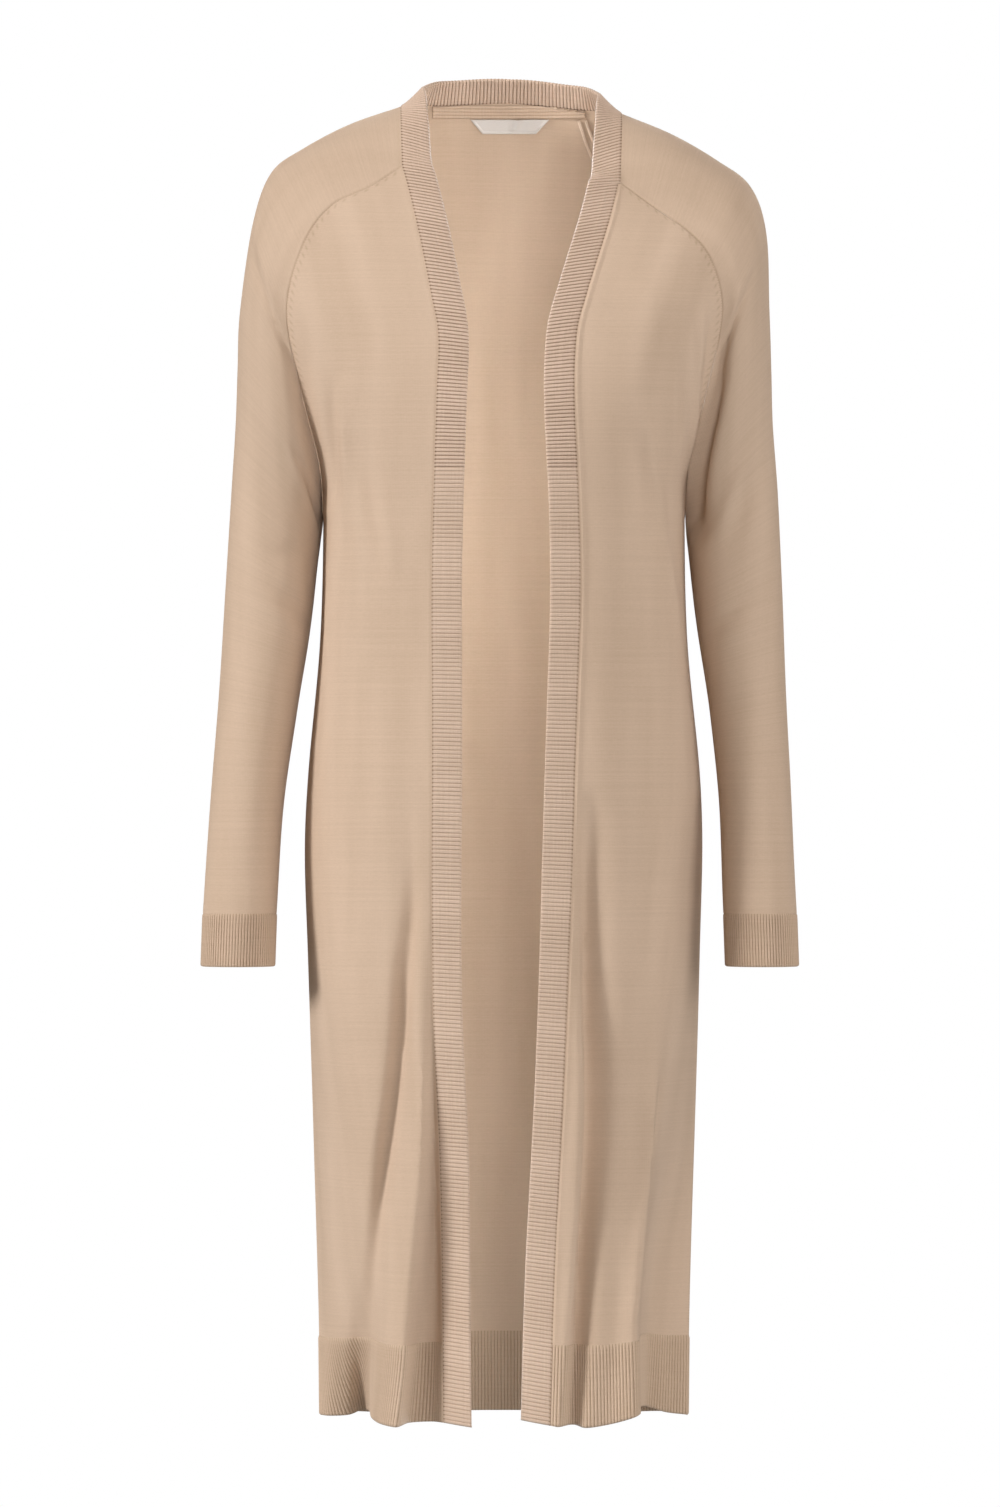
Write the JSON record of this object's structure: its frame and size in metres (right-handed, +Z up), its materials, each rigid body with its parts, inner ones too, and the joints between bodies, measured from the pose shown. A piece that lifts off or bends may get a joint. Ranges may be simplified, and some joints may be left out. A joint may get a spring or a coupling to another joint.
{
  "type": "long open-front cardigan",
  "caption": "Long open-front cardigan in fine knit with raglan sleeves, ribbed front band, cuffs and hem, filled out as worn.",
  "frame": {"origin": "between the shoulders, level with the shoulder line at the sides of the neck, where a wearer holds the garment up", "axes": "+Z up, the open front faces -Y, and +X is the wearer's left"},
  "size_m": [0.4948, 0.2269, 1.1214],
  "materials": {
    "jersey": "fine plain knit, matt with a soft sheen",
    "cuff_rib": "fine rib knit, matt",
    "hem_rib": "fine rib knit, matt",
    "band_rib": "firm rib knit, matt",
    "tape": "narrow knitted tape, matt",
    "satin": "woven satin ribbon, blank",
    "loop": "narrow knitted ribbon, matt"
  },
  "bodies": {
    "root": {"back_upper": "jersey", "back_lower": "jersey", "front_right": "jersey", "front_left": "jersey", "sleeve_upper_right": "jersey", "sleeve_lower_right": "jersey", "sleeve_upper_left": "jersey", "sleeve_lower_left": "jersey", "cuff_right": "cuff_rib", "cuff_left": "cuff_rib", "hem_back": "hem_rib", "hem_front_right": "hem_rib", "hem_front_left": "hem_rib", "band_right": "band_rib", "band_left": "band_rib", "neck_band": "band_rib", "neck_tape": "tape", "label": "satin", "hanger_loop": "loop"}
  },
  "joints": []
}
